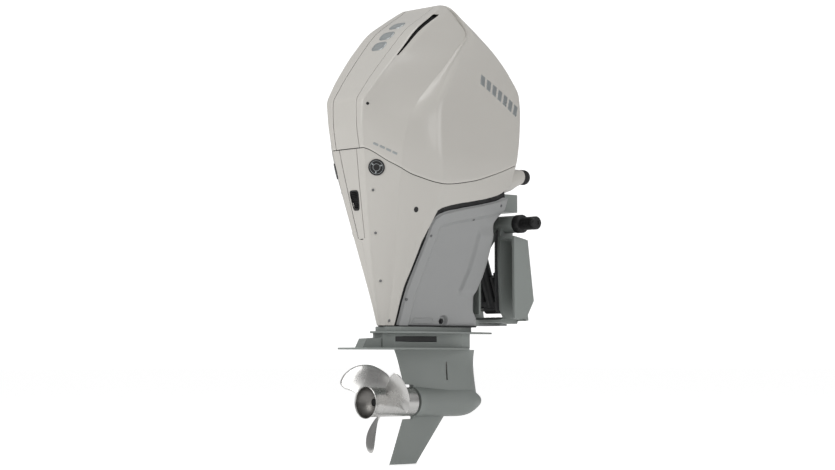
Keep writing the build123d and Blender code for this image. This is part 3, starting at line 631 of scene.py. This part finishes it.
def on_skin(x, z, side, lift=0.0):
    """A matrix whose Z points out of the cowling at X and z."""
    normal = skin_normal(x, z, side)
    return place_on(Vector((x, side * skin_half(x, z), z)) + normal * lift, normal)


def badges():
    """Plain round badges on the quarter panels: a dark disc, bright rings and three spokes."""
    discs, rings = [], []
    for side in (1, -1):
        place = on_skin(*BADGE_SPOT, side)
        disc = [(0, 1.6), (10, 1.6), (10.8, 0.9), (21, 0.9), (21.8, 1.8), (27.5, 1.8), (28.2, 2.8),
                (30.4, 2.8),
                (31, 2.0), (31, -6)]
        discs.append(lathe("disc", disc, place, 56))
        for low, high in ((24.2, 25.6), (12.5, 14.2)):
            band = [(low, 1), (low + 0.2, 2.4), (high - 0.2, 2.4), (high, 1)]
            rings.append(lathe("ring", band, place, 56))
        for turn in (20, 140, 260):
            spoke = np.array([[(r * math.cos(a), r * math.sin(a), 1.9) for a in
                               (math.radians(turn - w / r * 57), math.radians(turn + w / r * 57))]
                              for r, w in ((15, 1.2), (18, 3.0), (21, 2.2), (23.5, 1.0))])
            made = grid_object("spoke", spoke)
            made.data.transform(place)
            rings.append(made)
    dress(join("round_badges", discs), "trim_black", "engine", stands_for=["side_badges"])
    dress(join("badge_rings", rings), "silver_trim", "engine")


def skin_screws():
    """Screws in shallow cups down the lower cowl's quarter, and blanked holes."""
    cups, heads, holes = [], [], []
    for side in (1, -1):
        for x, z in QUARTER_SCREWS:
            place = on_skin(x, z, side)
            cups.append(lathe("cup", [(5.2, 0.1), (6, 0.9), (7.6, 1.3), (9.4, 0.7), (10.4, -0.8)], place))
            head = [(0, 0.3), (1.9, 0.3), (2.1, 1.4), (3.6, 1.7), (4.6, 1.0), (5.3, 0.1), (5.3, -1)]
            heads.append(lathe("head", head, place, 24))
        plug = [(0, 0.5), (6.4, 0.5), (7.4, 1.0), (8.4, 0.6), (8.8, -1)]
        holes.append(lathe("plug", plug, on_skin(-591, 114, side) @ Matrix.Diagonal((1.0, 1.3, 1.0, 1.0))))
        rim = [(0, 0.4), (4.6, 0.4), (5.6, 0.8), (6.2, -1)]
        latch = lathe("latch_hole", rim, on_skin(-778, 504, side), 24)
        dress(latch, "trim_black", "top_cowl")
    dress(join("quarter_screw_cups", cups), "cowl_paint", "engine")
    dress(join("quarter_screws", heads), "steel", "engine")
    dress(join("blank_plugs", holes), "trim_black", "engine")


def skin_patch(name, corners, side, lift, thickness=1.2):
    """A small raised panel that follows the cowling, from four X and Z corners."""
    a, b, c, d = (np.array(p, float) for p in corners)
    u = np.linspace(0, 1, 7)[None, :, None]
    v = np.linspace(0, 1, 9)[:, None, None]
    flat = (a * (1 - u) + b * u) * (1 - v) + (d * (1 - u) + c * u) * v
    half = np.array([[skin_half(x, z, -lift) for x, z in row] for row in flat])
    grid = np.stack([flat[..., 0], side * half, flat[..., 1]], axis=2)
    return thicken(grid_object(name, grid, flip=side > 0), thickness, 0.3)


def trim_strips():
    """Plain slanted bars along the cowl's flanks and above the seam at the quarters."""
    bars = []
    for side in (1, -1):
        for k in range(7):
            x, z = -292 + 31.5 * k, 626 - 16.5 * k
            foot, top = x - 7, x + 5
            corners = [(foot, z - 17), (foot + 21, z - 28), (top + 21, z + 11), (top, z + 22)]
            bars.append(skin_patch("bar", corners, side, 0.7))
        for k in range(4):
            x, z = -756 + 17 * k, 357 - 11 * k
            corners = [(x, z - 4), (x + 13, z - 12), (x + 14, z - 4), (x + 1, z + 4)]
            bars.append(skin_patch("bar", corners, side, 0.6))
    dress(join("side_trim_bars", bars), "silver_trim", "top_cowl")


def door_pads():
    """Three plain raised pads down the service door."""
    parts = []
    for z0 in (746.0, 790.0, 834.0):
        lean = (tail_x(z0 + 12) - tail_x(z0 - 12)) / 24
        out = Vector((-1, 0, lean)).normalized()
        along = Vector((lean, 0, 1)).normalized()
        rings = []
        for share, lift in ((0.0, 1.6), (0.45, 1.7), (0.6, 2.9), (0.86, 3.0), (0.96, 2.2), (1.0, -1.5)):
            ring = []
            for across, up in rounded_ring(36 * share, 24 * share, 3, 56):
                place = Vector((tail_x(z0), 0, z0)) + along * up
                bend = tail_x(place.z) - place.x
                ring.append((place.x + bend + out.x * lift, across, place.z + out.z * lift))
            rings.append(ring)
        parts.append(grid_object("pad", np.array(rings), wrap=True, flip=True))
    dress(join("door_pads", parts), "silver_trim", "service_door")


def cable_boot():
    """Ribbed rubber boot in the cable boss, and the blank plug to port."""
    profile = [(19, 0), (25, 0), (25, 50), (27.8, 53), (29.8, 57), (30, 62), (28.6, 65), (30, 68), (29.6, 76),
               (27.6, 83), (24, 87.5), (20, 88.6), (18.6, 87), (18, 80), (18, 40), (0, 40)]
    boot = lathe("boot", profile, place_on((-60, -BOSS_Y, BOSS_Z), (1, 0, 0)))
    dome = [(0, 6), (14, 5.6), (21, 4.4), (24.6, 1.5), (25.4, -14)]
    plug = lathe("plug", dome, place_on((-66, BOSS_Y, BOSS_Z), (1, 0, 0)))
    dress(join("cable_boot", [boot, plug]), "rubber", "engine", stands_for=["rigging_tube"])


def cover_point(x, z):
    """Half width of a mid cover's face at X and z."""
    return skin_half(x, z) - COVER_INSET - float(cover_depth(np.array([[[x, z]]], float))[0, 0])


def cover_fittings():
    """Screws, the pocket bolt and a plain raised oval on each mid cover."""
    screws, bolts, ovals = [], [], []
    for side in (1, -1):
        for x, z in COVER_SCREWS:
            place = place_on((x, side * cover_point(x, z), z), skin_normal(x, z, side))
            head = [(0, 0.2), (2.0, 0.2), (2.3, 1.8), (4.0, 2.0), (4.9, 1.2), (5.6, 0.8), (6.0, -2)]
            screws.append(lathe("screw", head, place, 24))
        x, z = BOLT_POCKET
        bolt = [(0, 9), (5.6, 9), (6.6, 8), (6.8, 2.5), (11, 2.3), (12, 1.5), (12, -3)]
        place = place_on((x, side * cover_point(x, z), z), skin_normal(x, z, side))
        bolts.append(lathe("pocket_bolt", bolt, place, 6))
        rings = []
        for share, lift in ((1.0, -1), (0.98, 1.6), (0.9, 1.6), (0.88, -1)):
            ring = rounded_ring(50 * share, 50 * share - 38, 5, 72)
            spots = [(OVAL_SPOT[0] + across, OVAL_SPOT[1] + up) for across, up in ring]
            rings.append([(x, side * (cover_point(x, z) + lift), z) for x, z in spots])
        ovals.append(grid_object("oval", np.array(rings), wrap=True, flip=side < 0))
    dress(join("cover_screw_heads", screws), "steel", "engine", stands_for=["cover_screws"])
    dress(join("cover_pocket_bolts", bolts), "block_black", "engine")
    dress(join("cover_ovals", ovals), "cover_grey", "engine")


def base_shade_ring():
    """Dark ring between the cowling's foot and the splash plate, painted shade standing for the recessed
    housing in shadow there.
    """
    half = LOWER_FORM[2, 9:]
    outline = np.concatenate([half, half[::-1] * np.array([1, -1])])
    middle = np.array([-386.0, 0.0])
    inner = middle + (outline - middle) * np.array([0.975, 0.93])
    rings = [[(x, y, z) for x, y in middle + (inner - middle) * share]
             for share, z in ((0.6, -316), (1.0, -316), (1.0, -321.8), (0.6, -321.8))]
    made = grid_object("base_shade_ring", np.array(rings), wrap=True)
    # the dark rubber finish of this ring is painted shade under the cowling's foot
    dress(made, "rubber", "engine")


def neck_slot_shades():
    """Black strips on the gearcase's neck where its exhaust slots are, painted shade standing for the dark
    inside of the recesses.
    """
    parts = []
    for side in (1, -1):
        path = [(-578, 49.2), (-500, 55.0), (-420, 60.9), (-376, 60.9)]
        rows = [[(x, side * (y - sink), z) for x, y in path]
                for z, sink in ((-379, 1.5), (-378, 0), (-374, 0), (-364, 0), (-360, 0), (-359, 1.5))]
        parts.append(thicken(grid_object("slot_shade", np.array(rows), flip=side > 0), 1.0, 0))
    # the black of these strips is painted shade for the inside of the slots
    dress(join("neck_slot_shades", parts), "trim_black", "engine")


# ---- running gear ----
def propeller_blade(turn):
    """One cupped blade, swept from root to tip."""
    curve = Curve([row[0] for row in BLADES], [row[1:] for row in BLADES])
    rings = []
    for r in [*np.linspace(48, 178, 30), 182, 185, 187.5, 189.3, 190.4, 191]:
        chord, thick, shift, skew = curve(r)[0]
        pitch = math.atan2(BLADE_PITCH, 2 * math.pi * r)
        ring = []
        for a in np.linspace(0, 2 * math.pi, 44, endpoint=False):
            along = math.cos(a) * chord / 2
            bulge = thick / 2 * math.sin(a) * (1.0 if math.sin(a) < 0 else 0.5)
            camber = -0.035 * chord * math.sin(a)**2
            lift = bulge + camber
            angle = math.radians(turn - skew) + (along * math.cos(pitch) - lift * math.sin(pitch)) / r
            axial = shift + along * math.sin(pitch) + lift * math.cos(pitch)
            ring.append((axial, -r * math.sin(angle), PROP_Z + r * math.cos(angle)))
        rings.append(ring)
    return grid_object("blade", np.array(rings), wrap=True)


def propeller():
    """Polished hub and blades, the bowl of its exhaust end in darker satin metal whose dark tone is painted
    shade inside the barrel, and the nut on the shaft.
    """
    aft = (-1, 0, 0)
    barrel = [(40, 3), (53, 3), (54.6, 4.5), (55, 8), (55, 60), (55, 130), (55, 205), (55.6, 213),
              (57.4, 220), (60, 227), (61.4, 230), (61.6, 231), (60.4, 231.6), (58.6, 230), (57.6, 227)]
    hub = lathe("hub", barrel, place_on((-456, 0, PROP_Z), aft), 72)
    hub.data.flip_normals()
    wheel = join("propeller_wheel", [hub, *(propeller_blade(turn) for turn in BLADE_TURNS)])
    dress(wheel, "stainless", "propeller_train", stands_for=["propeller"])
    dish = [(57.8, 227), (56, 219), (51, 209), (43, 200), (33, 193), (23, 189), (15, 187.5), (14, 184),
            (14, 150)]
    bowl = lathe("hub_bowl", dish, place_on((-456, 0, PROP_Z), aft), 72)
    # the bowl's darker tone is painted shade for the inside of the hub's barrel; its satin finish is the
    # metal's own
    dress(bowl, "dull_stainless_and_shade", "propeller_train")
    hexagon = [(0, 12), (6.5, 12), (7.5, 13), (11.6, 13), (13, 11), (13, -12)]
    nut = lathe("propeller_nut_piece", hexagon, place_on((-630, 0, PROP_Z), aft), 6)
    dress(nut, "trim_black", "propeller_train", stands_for=["propeller_nut"])
    rod = [(0, 0), (11.8, 0), (11.8, 430), (8.6, 433), (8.6, 444), (7, 446), (0, 446)]
    shaft = lathe("propeller_shaft_piece", rod, place_on((-196, 0, PROP_Z), aft), 32)
    dress(shaft, "steel", "propeller_train", stands_for=["propeller_shaft"])


def steering_actuator():
    """Ribbed steering cylinder on the tilt tube's starboard end, and the nut to port."""
    body = [(14, 170), (33, 170), (36, 173), (36, 198), (33, 203), (27, 204)]
    for h in range(206, 256, 8):
        body += [(22.4, h), (22.4, h + 1.5), (25.6, h + 3), (25.6, h + 6), (22.4, h + 7.5)]
    body += [(25, 256), (26, 258), (26, 273), (24.5, 276), (21, 280), (9, 280), (8, 277), (0, 277)]
    actuator = lathe("actuator", body, place_on((TILT_X, 0, TILT_Z), (0, -1, 0)), 44)
    end = [(14, 170), (26, 170), (27, 172), (27, 184), (25, 186), (20, 187), (20, 198), (18, 200), (14, 200)]
    nut = lathe("nut", end, place_on((TILT_X, 0, TILT_Z), (0, 1, 0)), 6)
    dress(join("steering_actuator", [actuator, nut]), "trim_black", "transom_bracket",
          stands_for=["steering_cylinder"])


def bracket_shade_pieces():
    """Dark plates and folded fins along the inner edges of the transom bracket's webs, painted shade where
    the bracket's inner wall lies in shadow.
    """
    outline = [(-84, 62), (-94, 40), (-94, -20), (-94, -110), (-92, -240), (-84, -262), (-60, -268),
               (-66, 60)]
    folds = ((0, 97.6), (-0.6, 99), (0, 100.4), (4, 101))
    shade_slabs = [slab("shade_slab", outline, *sorted((side * 99.0, side * 97.4)), 0.4, 2) for side in (1, -1)]
    shade_fins = []
    for side in (1, -1):
        edge = resample(outline[1:6], 60)
        rows = [[(x + back, side * y, z) for x, z in edge] for back, y in folds]
        shade_fins.append(thicken(grid_object("shade_fin", np.array(rows), flip=side < 0), 1.6, 0.4))
    # the black of these pieces is painted shade, standing for the shadowed inner wall of the bracket
    dress(join("bracket_shade_pieces", shade_slabs + shade_fins), "block_black", "transom_bracket")


# ---- stage ----
FLOOR_Z = -848
LAMP_TARGET = (-0.38, 0.0, 0.2)
LAMPS = [("key", (-4.8, 1.0, 1.6), 2.6, 75), ("side", (1.2, -5.2, 1.4), 3.0, 62),
         ("top", (-1.6, -0.6, 4.6), 2.5, 45)]         # name, place and size in metres, watts


def backdrop():
    """A white surround for the camera, and a soft grey gradient that lights the object."""
    world = bpy.data.worlds.new("studio")
    bpy.context.scene.world = world
    world.use_nodes = True
    tree = world.node_tree
    light = tree.nodes["Background"]
    light.inputs["Strength"].default_value = 0.5
    height = add_node(tree, "ShaderNodeSeparateXYZ")
    tree.links.new(add_node(tree, "ShaderNodeTexCoord").outputs["Generated"], height.inputs[0])
    sky = add_node(tree, "ShaderNodeValToRGB")
    band = sky.color_ramp
    band.elements[0].position, band.elements[0].color = 0.0, (0.55, 0.55, 0.55, 1)
    band.elements[1].position, band.elements[1].color = 1.0, (1.0, 1.0, 1.0, 1)
    for place, grey in ((0.08, 0.5), (0.3, 0.42), (0.5, 0.85)):
        band.elements.new(place).color = (grey, grey, grey, 1)
    tree.links.new(height.outputs["Z"], sky.inputs["Fac"])
    tree.links.new(sky.outputs["Color"], light.inputs["Color"])
    seen = add_node(tree, "ShaderNodeBackground", Color=(1, 1, 1, 1), Strength=1.15)
    mix = add_node(tree, "ShaderNodeMixShader")
    path = add_node(tree, "ShaderNodeLightPath")
    tree.links.new(path.outputs["Is Camera Ray"], mix.inputs[0])
    tree.links.new(light.outputs[0], mix.inputs[1])
    tree.links.new(seen.outputs[0], mix.inputs[2])
    tree.links.new(mix.outputs[0], tree.nodes["World Output"].inputs["Surface"])


def lamps():
    """Three square soft boxes aimed at the cowling."""
    for name, place, size, power in LAMPS:
        lamp = bpy.data.lights.new(name, "AREA")
        lamp.shape, lamp.size, lamp.energy = "SQUARE", size, power
        holder = bpy.data.objects.new(name, lamp)
        holder.location = place
        aim = Vector(LAMP_TARGET) - Vector(place)
        holder.rotation_mode = "QUATERNION"
        holder.rotation_quaternion = aim.to_track_quat("-Z", "Y")
        bpy.context.scene.collection.objects.link(holder)


def studio_floor():
    """A pale floor just under the skeg, brighter to the camera than to the object."""
    reach = (-60000, -6000, 6000, 60000)
    floor = grid_object("studio_floor", np.array([[(x, y, FLOOR_Z) for x in reach] for y in reach]))
    paint = bpy.data.materials.new("floor_paint")
    paint.use_nodes = True
    shader = paint.node_tree.nodes["Principled BSDF"]
    shader.inputs["Base Color"].default_value = (0.9, 0.9, 0.9, 1)
    shader.inputs["Roughness"].default_value = 0.85
    shader.inputs["Emission Color"].default_value = (1, 1, 1, 1)
    direct = add_node(paint.node_tree, "ShaderNodeMath", operation="MULTIPLY_ADD")
    direct.inputs[1].default_value, direct.inputs[2].default_value = 0.4, 0.22
    view = add_node(paint.node_tree, "ShaderNodeLightPath")
    paint.node_tree.links.new(view.outputs["Is Camera Ray"], direct.inputs[0])
    paint.node_tree.links.new(direct.outputs[0], shader.inputs["Emission Strength"])
    floor.data.materials.append(paint)


def camera():
    """Three-quarter view from off the starboard quarter, slightly below the cowl."""
    turn, pitch = math.radians(47.0), math.radians(3.43)
    look = Vector((math.cos(turn) * math.cos(pitch), math.sin(turn) * math.cos(pitch), math.sin(pitch)))
    lens = bpy.data.cameras.new("quarter_view")
    lens.lens, lens.sensor_width, lens.clip_end = 88.43, 36.0, 100.0
    holder = bpy.data.objects.new("quarter_view", lens)
    holder.location = (-5.8127, -5.7840, -0.4408)
    holder.rotation_mode = "QUATERNION"
    holder.rotation_quaternion = look.to_track_quat("-Z", "Y")
    bpy.context.scene.collection.objects.link(holder)
    bpy.context.scene.camera = holder


NODE_FINISH = {
    "clamp_bracket_port": "casting_grey", "clamp_bracket_starboard": "casting_grey",
    "tilt_tube": "steel", "lower_tie_casting": "casting_grey",
    "bracket_anode": "alloy", "trim_cylinder_pin": "stainless", "trim_cylinder_barrel": "block_black",
    "trim_pump_motor": "block_black", "trim_fluid_reservoir": "trim_black", "trim_rod": "stainless",
    "swivel_bracket": "casting_grey", "trim_rod_pin": "stainless", "tilt_lock_lever": "trim_black",
    "steering_yoke": "casting_grey", "lower_yoke": "casting_grey", "mount_rubbers": "rubber",
    "driveshaft_housing": "block_black", "adapter_plate": "block_black", "splash_plate": "casting_grey",
    "gearcase_housing": "casting_grey", "water_inlet_screens": "dull_stainless_and_shade",
    "cowl_seal": "rubber", "trim_switch": "rubber", "crankcase": "block_black", "flywheel": "steel",
}


def dress_nodes():
    """Gives each CAD node that stays in view its material."""
    for name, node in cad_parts.items():
        node.data.materials.clear()
        node.data.materials.append(MATERIALS[NODE_FINISH.get(name, "alloy")])


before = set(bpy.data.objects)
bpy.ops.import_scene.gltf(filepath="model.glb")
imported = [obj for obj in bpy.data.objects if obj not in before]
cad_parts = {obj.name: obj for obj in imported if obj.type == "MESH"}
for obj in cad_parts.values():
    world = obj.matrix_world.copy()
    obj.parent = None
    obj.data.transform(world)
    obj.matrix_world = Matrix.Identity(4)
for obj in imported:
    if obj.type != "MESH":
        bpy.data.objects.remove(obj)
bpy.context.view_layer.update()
dress_nodes()
top_cowl()
slot_liners()
lower_cowls()
mid_covers()
gap_shade_strips()
rear_grille()
badges()
skin_screws()
trim_strips()
door_pads()
cable_boot()
cover_fittings()
base_shade_ring()
neck_slot_shades()
propeller()
steering_actuator()
bracket_shade_pieces()
backdrop()
lamps()
studio_floor()
camera()
bpy.context.scene.view_settings.view_transform = "Standard"
